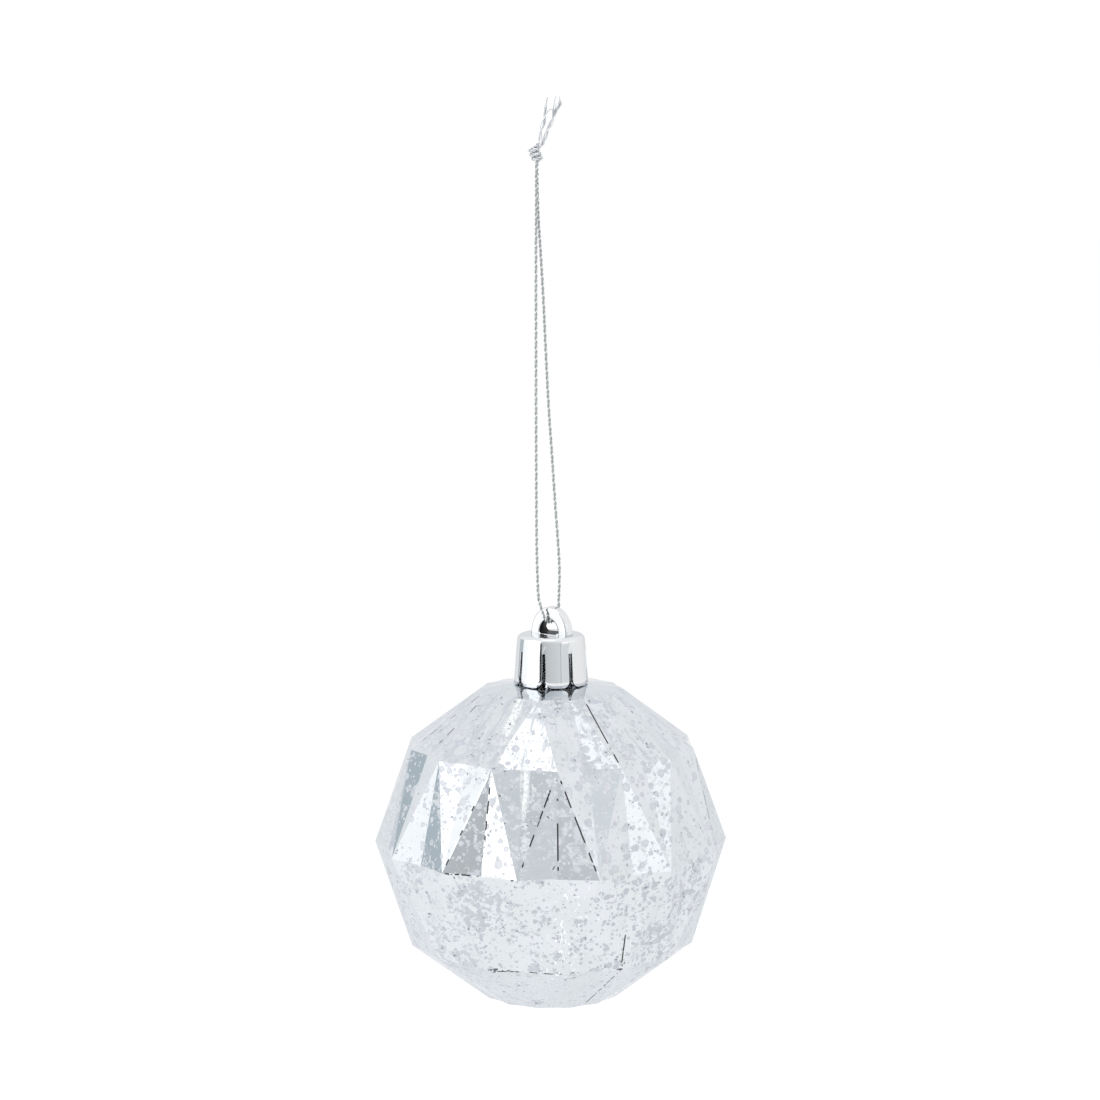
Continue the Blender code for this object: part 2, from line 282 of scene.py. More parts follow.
class Graph:
    """Short names for building a material's nodes."""

    def __init__(self, name):
        self.material = bpy.data.materials.new(name)
        self.material.use_nodes = True
        self.nodes = self.material.node_tree.nodes
        self.links = self.material.node_tree.links
        self.shader = self.nodes["Principled BSDF"]
        self.place = self.nodes.new("ShaderNodeTexCoord").outputs["Object"]

    def feed(self, socket, value):
        """Links an input to a socket, or sets it. A colour is red, green and blue."""
        if isinstance(value, bpy.types.NodeSocket):
            self.links.new(value, socket)
        elif socket.type == "RGBA":
            socket.default_value = (*value, 1.0)
        else:
            socket.default_value = value

    def node(self, kind, inputs):
        """A new node of that kind, with those of its inputs linked or set."""
        node = self.nodes.new(kind)
        for name, value in inputs.items():
            self.feed(node.inputs[name], value)
        return node

    def set(self, name, value):
        self.feed(self.shader.inputs[name], value)

    def scaled(self, factors):
        """The object's own coordinates, multiplied: the features per metre along X, Y and Z."""
        return self.node("ShaderNodeMapping", {"Vector": self.place, "Scale": factors}).outputs["Vector"]

    def noise(self, vector, detail=2.0, roughness=0.5, distortion=0.0):
        inputs = {"Scale": 1.0, "Detail": detail, "Roughness": roughness, "Distortion": distortion}
        return self.node("ShaderNodeTexNoise", {"Vector": vector, **inputs}).outputs["Fac"]

    def grain(self, across, up, **kind):
        """Noise with that many features per metre across the object and up it."""
        return self.noise(self.scaled((across, across, up)), **kind)

    def cells(self, vector):
        outputs = self.node("ShaderNodeTexVoronoi", {"Vector": vector, "Scale": 1.0}).outputs
        return outputs["Distance"], outputs["Color"]

    def math(self, operation, first, second=0.0, third=0.0):
        node = self.nodes.new("ShaderNodeMath")
        node.operation = operation
        for socket, value in zip(node.inputs, (first, second, third)):
            self.feed(socket, value)
        return node.outputs[0]

    def times(self, first, second):
        return self.math("MULTIPLY", first, second)

    def plus(self, first, second):
        return self.math("ADD", first, second)

    def minus(self, first, second):
        return self.math("SUBTRACT", first, second)

    def vector_math(self, operation, *values):
        node = self.nodes.new("ShaderNodeVectorMath")
        node.operation = operation
        for socket, value in zip(node.inputs, values):
            self.feed(socket, value)
        return node.outputs

    def largest(self, *values):
        most = values[0]
        for value in values[1:]:
            most = self.math("MAXIMUM", most, value)
        return most

    def wobbled(self, vector, frequency, reach):
        """The vector, pushed about smoothly, so that what's drawn with it isn't quite regular."""
        place = self.scaled((frequency,) * 3)
        push = self.node("ShaderNodeTexNoise", {"Vector": place, "Scale": 1.0}).outputs["Color"]
        return self.vector_math("MULTIPLY_ADD", push, (reach,) * 3, vector)["Vector"]

    def away_from(self, start, end):
        """How far each point is from the stretch between start and end."""
        along = end - start
        offset = self.vector_math("SUBTRACT", self.place, start)["Vector"]
        reached = self.vector_math("DOT_PRODUCT", offset, along)["Value"]
        share = self.ramp(reached, 0.0, along.length_squared)
        gap = self.vector_math("MULTIPLY_ADD", share, -along, offset)["Vector"]
        return self.vector_math("LENGTH", gap)["Value"]

    def polar(self, across, up):
        """Coordinates that turn round the object's axis: features per radian, and per metre of height."""
        x, y, z = self.split(self.place)[:3]
        turn = self.math("ARCTAN2", x, self.times(y, -1.0))
        inputs = {"X": self.times(turn, across), "Y": self.times(z, up)}
        return self.node("ShaderNodeCombineXYZ", inputs).outputs[0]

    def ramp(self, value, low, high, at_low=0.0, at_high=1.0):
        """A straight ramp between two values, level outside them."""
        inputs = {"From Min": low, "From Max": high, "To Min": at_low, "To Max": at_high}
        return self.node("ShaderNodeMapRange", {"Value": value, **inputs}).outputs["Result"]

    def blend(self, share, first, second):
        node = self.nodes.new("ShaderNodeMix")
        node.data_type = "RGBA"
        self.feed(node.inputs[0], share)
        self.feed(node.inputs[6], first)
        self.feed(node.inputs[7], second)
        return node.outputs[2]

    def split(self, vector):
        return self.node("ShaderNodeSeparateXYZ", {"Vector": vector}).outputs

    def attribute(self, name):
        node = self.nodes.new("ShaderNodeAttribute")
        node.attribute_name = name
        return node.outputs["Fac"]

    def bump(self, height, strength, distance):
        inputs = {"Height": height, "Strength": strength, "Distance": distance}
        return self.node("ShaderNodeBump", inputs).outputs["Normal"]


# ---- the cord


CORD_SAMPLES = 24
PLY_PITCH = 2.1 * MM
PLY_STEPS = 12
PLY_SIDES = 8
GREY_PLY = (0.21 * MM, 0.15 * MM)  # the ply's radius, and how far its middle is from the thread's
BRIGHT_PLY = (0.17 * MM, 0.26 * MM)
KNOT_CENTRE = Vector((-0.45, 0.0, 1.85)) * MM
KNOT_LEAN_DEG = -24.0
KNOT_TURNS = 2.15
KNOT_TURN_STEPS = 8  # route points for each turn
KNOT_RISE = 2.1 * MM  # from the first wrap to the last, along the knot
KNOT_WRAP_RADIUS = 1.00 * MM
KNOT_PAIR = 0.46 * MM  # half the distance between the two strands that are wrapped side by side
KNOT_CORE = 0.20 * MM  # the same, where they go up through the middle
KNOT_FIRST_TURN_DEG = 60.0  # where round the knot the first wrap starts
TAIL_OPENING = 0.55  # how much further apart the two plies lie in the loose tails
TAIL_OPENS = (4.5 * MM, 7.0 * MM)  # the heights between which they come apart,
TAIL_UNTWISTS = (3.5 * MM, 6.0 * MM)  # lose most of their twist
TAIL_THINS = (8.5 * MM, 14.0 * MM)  # and get thinner
TAIL_TWIST_LOST = 0.65
TIP_THICKNESS_LOST = 0.45


def from_mm(*points):
    return [MM * Vector(point) for point in points]


def eye_point(across, through, up):
    """In mm: across the eye's face, through its hole to the back, and up from the cord in the hole."""
    turned = Matrix.Rotation(math.radians(EYE_TURN_DEG), 3, "Z") @ Vector((across, through, up))
    return BALL_CENTRE + MM * turned + Vector((0.0, 0.0, CORD_IN_EYE))


def strand_route():
    """Down the front strand, through the eye, and up the back strand."""
    front = from_mm(
        (-0.25, -0.52, -0.3), (-0.30, -0.52, -11.0), (-0.35, -0.60, -20.0), (-0.36, -0.80, -35.0),
        (-0.36, -1.00, -54.0), (-0.30, -1.30, -75.0), (-0.20, -1.50, -86.5), (0.00, -1.45, -93.5),
        (0.22, -1.35, -97.2),
    )
    eye = [
        eye_point(-1.05, -2.35, 3.4),
        eye_point(-0.55, -2.30, 2.1),
        eye_point(-0.20, -1.85, 0.8),
        eye_point(0.0, -0.90, 0.12),
        eye_point(0.0, 0.90, 0.12),
        eye_point(0.20, 1.85, 0.8),
        eye_point(0.45, 2.30, 2.1),
        eye_point(0.50, 2.35, 3.4),
    ]
    back = from_mm(
        (4.75, 1.70, -97.6), (4.90, 1.60, -92.2), (4.70, 1.50, -86.8), (3.91, 1.45, -75.9),
        (3.20, 1.30, -65.0), (2.46, 1.15, -54.2), (1.77, 0.90, -40.8), (1.28, 0.70, -30.1),
        (0.66, 0.55, -19.5), (0.15, 0.52, -11.0), (-0.10, 0.52, -0.3),
    )
    return front + eye + back


def tail_routes():
    """The two free ends above the knot."""
    left = from_mm((0.30, 0.0, 4.5), (0.85, 0.0, 7.5), (1.45, 0.0, 9.6), (2.10, 0.0, 14.3))
    right = from_mm((1.15, 0.0, 4.1), (2.40, 0.0, 7.5), (3.45, 0.0, 9.7), (4.80, 0.0, 13.3))
    return left, right


def knot_strand(side):
    """One of the two strands: up through the knot's middle, round it in wraps, and out at its top."""
    lean = Matrix.Rotation(math.radians(KNOT_LEAN_DEG), 3, "Y")
    across, deep, along = (lean @ Vector(axis) for axis in ((1, 0, 0), (0, 1, 0), (0, 0, 1)))
    aside = KNOT_CENTRE + side * KNOT_CORE * across
    points = [
        aside - 0.75 * KNOT_RISE * along,
        aside + 0.35 * KNOT_RISE * along + 0.1 * KNOT_WRAP_RADIUS * deep,
    ]
    steps = round(KNOT_TURNS * KNOT_TURN_STEPS)
    for step in range(steps + 1):
        share = step / steps
        turn = math.radians(KNOT_FIRST_TURN_DEG) + 2.0 * math.pi * KNOT_TURNS * share
        level = (0.5 - share) * KNOT_RISE + side * KNOT_PAIR
        out = math.cos(turn) * across + math.sin(turn) * deep
        points.append(KNOT_CENTRE + level * along + KNOT_WRAP_RADIUS * out)
    points.append(aside + 0.5 * KNOT_RISE * along + KNOT_WRAP_RADIUS * deep)
    return points


def smooth_curve(points, samples):
    """Points on a Catmull-Rom curve through the route, each stretch taking the same number of samples."""
    ends = [2 * points[0] - points[1], *points, 2 * points[-1] - points[-2]]
    line = []
    for index in range(len(points) - 1):
        before, start, end, after = ends[index:index + 4]
        for step in range(samples):
            t = step / samples
            line.append(
                0.5 * (2 * start + (end - before) * t
                       + (2 * before - 5 * start + 4 * end - after) * t ** 2
                       + (3 * start - before - 3 * end + after) * t ** 3)
            )
    line.append(points[-1])
    return line


def even_spacing(line, spacing):
    """The line again, with its points that far apart."""
    points = np.array([tuple(p) for p in line])
    reach = np.concatenate([[0.0], np.cumsum(np.linalg.norm(np.diff(points, axis=0), axis=1))])
    count = max(2, round(reach[-1] / spacing))
    at = np.linspace(0.0, reach[-1], count + 1)
    columns = [np.interp(at, reach, points[:, axis]) for axis in range(3)]
    return [Vector(p) for p in zip(*columns)]


def frames_along(line, first_side):
    """At each point, a direction along the line and one square to it that turns as little as it can."""
    side = first_side
    frames = []
    for index in range(len(line)):
        along = (line[min(index + 1, len(line) - 1)] - line[max(index - 1, 0)]).normalized()
        side = (side - along * side.dot(along)).normalized()
        frames.append((along, side))
    return frames


def cord_line():
    """The thread's whole centreline, from the tip of the left tail to the tip of the right one."""
    left, right = tail_routes()
    front, rear = knot_strand(-1.0), knot_strand(1.0)
    route = list(reversed(left)) + list(reversed(front)) + strand_route() + rear + right
    return even_spacing(smooth_curve(route, CORD_SAMPLES), PLY_PITCH / PLY_STEPS)


def ease(value, low, high):
    t = min(1.0, max(0.0, (value - low) / (high - low)))
    return t * t * (3.0 - 2.0 * t)


def thickness(point):
    """The thread's thickness at that point, as a share: less towards the frayed tips."""
    return 1.0 - TIP_THICKNESS_LOST * ease(point.z, *TAIL_THINS)


def twist_along(line):
    """The plies' turn at each point, in radians. The tails have come mostly untwisted."""
    turn = 0.0
    turns = []
    for point in line:
        turns.append(turn)
        turn += 2.0 * math.pi / PLY_STEPS * (1.0 - TAIL_TWIST_LOST * ease(point.z, *TAIL_UNTWISTS))
    return turns


def ring(bm, centre, along, side, radius, sides):
    other = along.cross(side)
    points = []
    for index in range(sides):
        angle = 2.0 * math.pi * index / sides
        points.append(bm.verts.new(centre + radius * (math.cos(angle) * side + math.sin(angle) * other)))
    return points


def band(bm, first, second):
    """The faces between two closed rows of points, in order."""
    faces = []
    for index in range(len(first)):
        after = (index + 1) % len(first)
        faces.append(bm.faces.new((first[index], first[after], second[after], second[index])))
    return faces


def skin_rings(bm, rings, slot):
    """A closed tube over the rings."""
    faces = []
    for first, second in zip(rings, rings[1:]):
        faces += band(bm, first, second)
    faces.append(bm.faces.new(list(reversed(rings[0]))))
    faces.append(bm.faces.new(rings[-1]))
    for face in faces:
        face.material_index = slot


def ply_rings(bm, line, frames, phase, ply):
    """The rings of one ply, which winds round the thread's line from that phase."""
    radius, reach = ply
    rings = []
    for point, (along, side), turn in zip(line, frames, twist_along(line)):
        share = thickness(point)
        opened = reach * (1.0 + TAIL_OPENING * ease(point.z, *TAIL_OPENS))
        out = math.cos(phase + turn) * side + math.sin(phase + turn) * along.cross(side)
        rings.append(ring(bm, point + opened * share * out, along, out, radius * share, PLY_SIDES))
    return rings


def thread_material(name, colour, tail_colour, roughness):
    """Fine metallic fibre: streaks along the ply break up its shine, and the loose tails are paler."""
    graph = Graph(name)
    height = graph.split(graph.place)[2]
    streaks = graph.grain(9000.0, 2200.0, detail=3.0, roughness=0.6)
    tone = graph.blend(graph.ramp(height, -1.0 * MM, 1.0 * MM), colour, tail_colour)
    dark = graph.blend(0.22, tone, (0.05, 0.06, 0.06))
    graph.set("Base Color", graph.blend(graph.ramp(streaks, 0.35, 0.62), dark, tone))
    graph.set("Roughness", graph.ramp(streaks, 0.3, 0.7, roughness + 0.12, roughness - 0.08))
    graph.set("Metallic", 0.5)
    graph.set("Normal", graph.bump(streaks, 0.6, 0.05 * MM))
    return graph.material


GREY_THREAD = (0.44, 0.47, 0.47)
GREY_TAIL = (0.70, 0.72, 0.75)
BRIGHT_THREAD = (0.84, 0.86, 0.87)
BRIGHT_TAIL = (0.90, 0.92, 0.94)
FIBRE = (0.58, 0.60, 0.63)


def build_cord():
    """The two plies over the whole route. Returns the piece and its centreline."""
    line = cord_line()
    frames = frames_along(line, Vector((1.0, 0.0, 0.0)))
    bm = bmesh.new()
    skin_rings(bm, ply_rings(bm, line, frames, 0.0, GREY_PLY), 0)
    skin_rings(bm, ply_rings(bm, line, frames, math.pi, BRIGHT_PLY), 1)
    grey = thread_material("grey_ply", GREY_THREAD, GREY_TAIL, 0.42)
    bright = thread_material("bright_ply", BRIGHT_THREAD, BRIGHT_TAIL, 0.38)
    cord = link("metallic_cord", mesh_from(bm, "metallic_cord"), grey, bright)
    cord.data.shade_smooth()
    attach(cord, "cord")
    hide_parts("cord_loop", "cord_knot", "cord_tail_left", "cord_tail_right")
    return cord, line


FILAMENT_RADIUS = 0.15 * MM
FILAMENT_SIDES = 6
FILAMENT_STEP = 0.35 * MM


def filament_routes():
    """Loose fibres at the two frayed ends, each as a few points in millimetres across, deep and up."""
    return [
        ((1.30, -0.1, 8.6), (1.60, -0.2, 9.9), (2.15, -0.3, 11.0), (2.75, -0.25, 11.6), (3.35, -0.2, 11.7),
         (3.95, -0.1, 11.4)),
        ((1.50, 0.1, 9.8), (1.62, 0.1, 11.4), (1.85, 0.2, 12.6), (2.00, 0.3, 13.4)),
        ((1.75, 0.0, 11.5), (1.95, -0.2, 12.8), (2.25, -0.3, 14.2)),
        ((1.60, 0.0, 10.5), (1.50, 0.2, 11.6), (1.80, 0.2, 12.9)),
        ((1.20, -0.2, 7.6), (1.75, -0.3, 8.8), (1.85, -0.3, 10.1)),
        ((3.45, 0.0, 10.0), (3.60, -0.1, 11.3), (3.55, -0.2, 12.2), (3.80, -0.2, 13.5), (4.15, -0.2, 14.6)),
        ((3.55, 0.2, 10.2), (3.50, 0.3, 11.5), (3.60, 0.3, 12.4)),
        ((3.70, 0.0, 10.6), (4.05, 0.1, 11.3), (4.25, 0.2, 12.1)),
        ((3.80, 0.0, 10.8), (4.50, -0.1, 12.0), (4.95, -0.1, 12.9), (5.10, -0.1, 13.9)),
        ((3.90, 0.1, 10.8), (4.75, 0.2, 12.0), (5.35, 0.2, 12.9), (5.45, 0.2, 13.2)),
        ((4.00, 0.0, 11.3), (4.65, -0.3, 12.6), (4.85, -0.3, 13.7), (4.80, -0.3, 14.5)),
        ((4.10, 0.2, 11.5), (4.55, 0.4, 12.3), (5.00, 0.4, 12.6)),
        ((0.70, -0.4, 3.9), (1.20, -0.4, 5.1), (1.65, -0.4, 6.4), (2.15, -0.4, 7.6)),
        ((2.10, -0.3, 6.4), (2.75, -0.4, 8.0), (3.25, -0.3, 9.4)),
        ((3.30, -0.2, 9.6), (3.35, -0.3, 10.8), (3.20, -0.3, 11.9)),
        ((3.50, -0.1, 10.2), (3.85, -0.2, 11.4), (4.05, -0.2, 12.6), (4.10, -0.2, 13.1)),
        ((3.60, 0.1, 10.4), (4.30, 0.2, 11.8), (4.65, 0.3, 13.1)),
        ((4.05, -0.1, 11.2), (4.95, -0.2, 12.5), (5.20, -0.2, 13.4)),
        ((1.55, 0.2, 9.4), (1.75, 0.3, 10.8), (1.80, 0.3, 12.0)),
    ]


def build_filaments():
    """The loose fibres, each a tube that tapers to its tip."""
    bm = bmesh.new()
    for route in filament_routes():
        line = even_spacing(smooth_curve(from_mm(*route), CORD_SAMPLES), FILAMENT_STEP)
        frames = frames_along(line, Vector((0.0, 1.0, 0.0)))
        rings = []
        for index, (point, (along, side)) in enumerate(zip(line, frames)):
            taper = 1.0 - 0.6 * index / len(line)
            rings.append(ring(bm, point, along, side, FILAMENT_RADIUS * taper, FILAMENT_SIDES))
        skin_rings(bm, rings, 0)
    fibre = thread_material("fibre", FIBRE, FIBRE, 0.4)
    filaments = link("frayed_ends", mesh_from(bm, "frayed_ends"), fibre)
    filaments.data.shade_smooth()
    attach(filaments, "cord")
    return filaments


# ---- the ball


WORN_CUTS = 11  # how finely a worn edge is cut, so that only a stretch of it can be worn
CHAMFER = 0.17 * MM  # along the edges of the facets
UNWORN = 0.25  # how worn the other chamfers are
LEAST_FACET_ANGLE = math.radians(0.5)  # flatter edges only come from cutting the worn ones


def round_the_axis(radius, degrees, height):
    """A point round the ball's axis. Zero degrees faces the front, -Y, and the angle grows towards +X."""
    angle = math.radians(degrees)
    return Vector((radius * math.sin(angle), -radius * math.cos(angle), height))


def dented_ring(bm, radius, dent, height, corners_on_even):
    """Two points for each corner: the corner itself, and the dented middle of the edge that follows it."""
    step = 180.0 / CORNERS
    points = []
    for index in range(2 * CORNERS):
        is_corner = (index % 2 == 0) == corners_on_even
        reach = radius if is_corner else radius - dent
        points.append(bm.verts.new(round_the_axis(reach, FRONT_CORNER_DEG + index * step, height)))
    return points


def facet_rings(bm, inset):
    """The rings from the lip of the neck to the base, all of them that far inside the outer skin."""
    def dented(radius, dent, height, on_even):
        return dented_ring(bm, radius - inset, dent, height, on_even)

    drop = inset * 0.5
    return [
        dented(NECK_RADIUS, 0.0, NECK_TOP_HEIGHT, True),
        dented(NECK_RADIUS, 0.0, NECK_THROAT_HEIGHT - drop, True),
        dented(NECK_FOOT_RADIUS, 0.0, NECK_FOOT_HEIGHT - 1.6 * drop, True),
        dented(CROWN_RADIUS, CROWN_DENT, CROWN_HEIGHT - 2.0 * drop, False),
        dented(SHOULDER_RADIUS, SHOULDER_DENT, SHOULDER_HEIGHT - drop, True),
        dented(BALL_RADIUS, EQUATOR_DENT, 0.0, False),
        dented(SHOULDER_RADIUS, SHOULDER_DENT, -SHOULDER_HEIGHT + drop, True),
        dented(CROWN_RADIUS, CROWN_DENT, -CROWN_HEIGHT + 2.0 * drop, False),
    ]


def join_rings(bm, upper, lower, ridge_from_even):
    """Two triangles between each pair of neighbours. The ridge goes from a corner above to one below."""
    count = len(upper)
    for index in range(count):
        after = (index + 1) % count
        if (index % 2 == 0) == ridge_from_even:
            bm.faces.new((upper[index], lower[index], lower[after]))
            bm.faces.new((upper[index], lower[after], upper[after]))
        else:
            bm.faces.new((upper[index], lower[index], upper[after]))
            bm.faces.new((upper[after], lower[index], lower[after]))


def join_round_rings(bm, upper, lower):
    for index in range(len(upper)):
        after = (index + 1) % len(upper)
        bm.faces.new((upper[index], lower[index], lower[after], upper[after]))


def skin_of_rings(bm, rings):
    """The round neck, then the facets down to the flat base."""
    for upper, lower in zip(rings[:3], rings[1:4]):
        join_round_rings(bm, upper, lower)
    for index, ridge_from_even in ((3, False), (4, True), (5, False), (6, True)):
        join_rings(bm, rings[index], rings[index + 1], ridge_from_even)
    bm.faces.new(list(reversed(rings[-1])))


def worn_edges(rings):
    """Facet edges whose silver has cracked away in dashes: from which share to which, and how worn."""
    crown, shoulder, equator, lower, bottom = rings[3:8]
    return [
        (shoulder[0], equator[27], 0.15, 0.97, 1.00),
        (shoulder[0], equator[0], 0.16, 0.98, 1.15),
        (shoulder[0], equator[1], 0.05, 0.98, 1.10),
        (shoulder[26], equator[25], 0.22, 1.00, 0.85),
        (shoulder[26], equator[26], 0.22, 1.00, 0.85),
        (equator[25], equator[26], 0.00, 1.00, 0.90),
        (equator[26], equator[27], 0.80, 1.00, 0.90),
        (equator[27], equator[0], 0.00, 0.60, 0.70),
        (crown[2], shoulder[2], 0.05, 0.95, 1.10),
        (shoulder[6], equator[6], 0.00, 0.80, 1.00),
        (crown[23], shoulder[23], 0.20, 0.90, 0.90),
        (crown[22], shoulder[22], 0.10, 1.00, 0.90),
        (crown[21], shoulder[21], 0.10, 0.90, 0.80),
        (equator[2], lower[2], 0.60, 1.00, 1.90),
        (lower[2], bottom[2], 0.00, 1.00, 1.15),
        (lower[0], lower[1], 0.00, 1.00, 0.75),
        (lower[27], lower[0], 0.00, 1.00, 0.85),
        (lower[26], lower[27], 0.20, 1.00, 0.95),
    ]


def nearest_on(start, end, point):
    """How far the point is from the stretch between start and end."""
    along = end - start
    share = min(1.0, max(0.0, (point - start).dot(along) / along.length_squared))
    return (point - start - share * along).length


def build_shell(bm):
    """Outer and inner skin, joined at the neck's lip. Returns the outer skin's rings."""
    outer = facet_rings(bm, 0.0)
    inner = facet_rings(bm, WALL)
    skin_of_rings(bm, outer)
    skin_of_rings(bm, inner)
    bm.faces.ensure_lookup_table()
    half = len(bm.faces) // 2
    bmesh.ops.reverse_faces(bm, faces=bm.faces[half:])
    for index in range(len(outer[0])):
        after = (index + 1) % len(outer[0])
        bm.faces.new((inner[0][index], outer[0][index], outer[0][after], inner[0][after]))
    return outer


def build_ball_mesh():
    """The shell, its outer edges chamfered, with how worn each chamfer is."""
    bm = bmesh.new()
    outer = build_shell(bm)
    faceted = {v for points in outer[3:] for v in points}
    marks = []
    worn = []
    for start, end, begin, finish, wear in worn_edges(outer):
        marks.append((start.co.lerp(end.co, begin), start.co.lerp(end.co, finish), wear))
        worn.append(next(edge for edge in start.link_edges if edge.other_vert(start) == end))
    cut = bmesh.ops.subdivide_edges(bm, edges=worn, cuts=WORN_CUTS)
    faceted |= {item for item in cut["geom_split"] if isinstance(item, bmesh.types.BMVert)}
    layer = bm.faces.layers.float.new("wear")
    bm.normal_update()
    on_facets = [edge for edge in bm.edges if set(edge.verts) <= faceted]
    edges = [edge for edge in on_facets if edge.calc_face_angle(0.0) > LEAST_FACET_ANGLE]
    made = bmesh.ops.bevel(bm, geom=edges, offset=CHAMFER, segments=1, affect="EDGES", profile=0.5)
    for face in made["faces"]:
        middle = face.calc_center_median()
        face[layer] = UNWORN
        for start, end, wear in marks:
            if nearest_on(start, end, middle) < 2.0 * CHAMFER:
                face[layer] = wear
    return mesh_from(bm, "silvered_ball")


class Silver(Graph):
    """A mirror coat under a clear shell, all the ways in which it is missing, and painted glints."""

    def __init__(self):
        super().__init__("silvered_shell")
        self.across, _, self.height = self.split(self.place)[:3]
        self.lower = self.ramp(self.height, 3.0 * MM, -3.0 * MM)
        self.on_crown = self.ramp(self.height, SHOULDER_HEIGHT - 1.0 * MM, SHOULDER_HEIGHT + 1.0 * MM)
        self.clump = self.grain(75.0, 95.0)
        self.blotch = self.grain(430.0, 480.0, detail=7.0, roughness=0.70, distortion=0.6)
        self.fleck = self.grain(800.0, 1100.0, detail=5.0, roughness=0.65, distortion=0.4)
        self.wrinkle = self.grain(1900.0, 700.0, detail=6.0, roughness=0.7, distortion=1.0)
        self.short_dash = self.grain(1150.0, 1150.0, detail=0.0)
        self.depth = self.grain(420.0, 420.0, detail=3.0)

    def by_half(self, upper, lower):
        """One value over the equator and another below it."""
        return self.ramp(self.lower, 0.0, 1.0, upper, lower)

    def dots(self, size, least, largest, share, in_lower=1.0):
        """Round gaps where a cell's random number is in that share. Returns them and their darker rims."""
        place = self.wobbled(self.scaled((1.0 / size,) * 3), 1.3 / size, 0.42)
        distance, colour = self.cells(place)
        chance = self.split(colour)[0]
        radius = self.ramp(chance, 1.0 - share, 1.0, least, largest)
        radius = self.times(radius, self.by_half(1.0, in_lower))
        radius = self.times(radius, self.ramp(self.clump, 0.40, 0.60, 0.75, 1.12))
        edge = self.minus(radius, distance)
        edge = self.times(edge, self.math("GREATER_THAN", chance, 1.0 - share))
        edge = self.times(edge, size / MM)
        inside = self.ramp(edge, 0.0, 0.10)
        return inside, self.times(inside, self.ramp(edge, 0.40, 0.05))

    def stains(self):
        """Blotches and flecks, fewer of them low down in the middle, and runs down the crown."""
        from_left = self.ramp(self.across, -14.0 * MM, 0.0)
        from_right = self.ramp(self.across, 24.0 * MM, 12.0 * MM)
        spared = self.times(self.math("MINIMUM", from_left, from_right), self.lower)
        sparse = self.ramp(self.clump, 0.35, 0.65, 0.05, -0.05)
        sparse = self.math("MULTIPLY_ADD", spared, 0.058, sparse)
        blotch_from = self.plus(self.by_half(0.550, 0.545), sparse)
        blotches = self.ramp(self.minus(self.blotch, blotch_from), 0.0, 0.04)
        fleck_from = self.plus(self.by_half(0.640, 0.590), sparse)
        flecks = self.ramp(self.minus(self.fleck, fleck_from), 0.0, 0.05)
        run = self.noise(self.polar(15.0, 190.0), detail=7.0, roughness=0.68, distortion=0.8)
        run_from = self.ramp(self.across, -14.0 * MM, 6.0 * MM, 0.49, 0.545)
        runs = self.times(self.ramp(self.minus(run, run_from), 0.0, 0.08), self.on_crown)
        return self.times(self.largest(blotches, flecks, runs), self.by_half(0.80, 1.00))

    def wrinkles(self):
        """Two ridges where the silver has lifted in fine, bright wrinkles."""
        front_ridge = self.away_from(
            round_the_axis(SHOULDER_RADIUS - SHOULDER_DENT, -10.6, SHOULDER_HEIGHT),
            round_the_axis(BALL_RADIUS, -9.5, 6.0 * MM),
        )
        crown_ridge = self.away_from(
            round_the_axis(CROWN_RADIUS, -25.0, CROWN_HEIGHT),
            round_the_axis(0.8 * SHOULDER_RADIUS, -24.5, SHOULDER_HEIGHT + 4.5 * MM),
        )
        ragged = self.times(self.wrinkle, 1.6 * MM)
        reach = self.plus(self.math("MINIMUM", front_ridge, crown_ridge), ragged)
        return self.ramp(reach, 2.1 * MM, 1.7 * MM)

    def cracks(self):
        """Dashes along the worn edges, where the silver cracked and the dark inside shows."""
        wear = self.attribute("wear")
        upper = self.minus(1.0, self.lower)
        long_dash = self.grain(520.0, 520.0, detail=0.0)
        dash = self.plus(self.times(long_dash, upper), self.times(self.short_dash, self.lower))
        cracked = self.math("LESS_THAN", dash, self.ramp(wear, 0.0, 1.2, 0.10, 0.62))
        return self.times(cracked, self.math("GREATER_THAN", wear, 0.1))

    def specks(self):
        """Small dark specks among the blotches."""
        speck = self.grain(1300.0, 1700.0)
        return self.ramp(self.times(speck, self.ramp(self.blotch, 0.42, 0.60)), 0.60, 0.64)

    def chips(self):
        """Chips along two lower edges, where the silver has come away altogether."""
        low_ring = self.away_from(
            round_the_axis(SHOULDER_RADIUS, -25.0, -SHOULDER_HEIGHT),
            round_the_axis(SHOULDER_RADIUS, -12.0, -SHOULDER_HEIGHT),
        )
        low_ridge = self.away_from(
            round_the_axis(0.5 * (BALL_RADIUS + SHOULDER_RADIUS), 28.0, -0.68 * SHOULDER_HEIGHT),
            round_the_axis(0.985 * SHOULDER_RADIUS, 28.0, -1.03 * SHOULDER_HEIGHT),
        )
        reach = self.times(self.minus(self.short_dash, 0.33), 2.4 * MM)
        chipped = self.math("LESS_THAN", self.math("MINIMUM", low_ring, low_ridge), reach)
        return self.times(chipped, self.math("GREATER_THAN", self.fleck, 0.47))

    def painted_glints(self):
        """Painted glints: small near-white specks below the front corner, standing in for light caught on
        the coat.
        """
        line = self.away_from(
            round_the_axis(BALL_RADIUS, 6.0, -4.0 * MM),
            round_the_axis(SHOULDER_RADIUS, 4.0, -SHOULDER_HEIGHT),
        )
        glint_noise = self.grain(1500.0, 900.0)
        # Painted highlight: where the noise is high enough, the coat gets a near-white glint.
        glint_share = self.math("GREATER_THAN", glint_noise, self.ramp(line, 1.0 * MM, 10.0 * MM, 0.63, 0.76))
        return self.times(glint_share, self.lower)

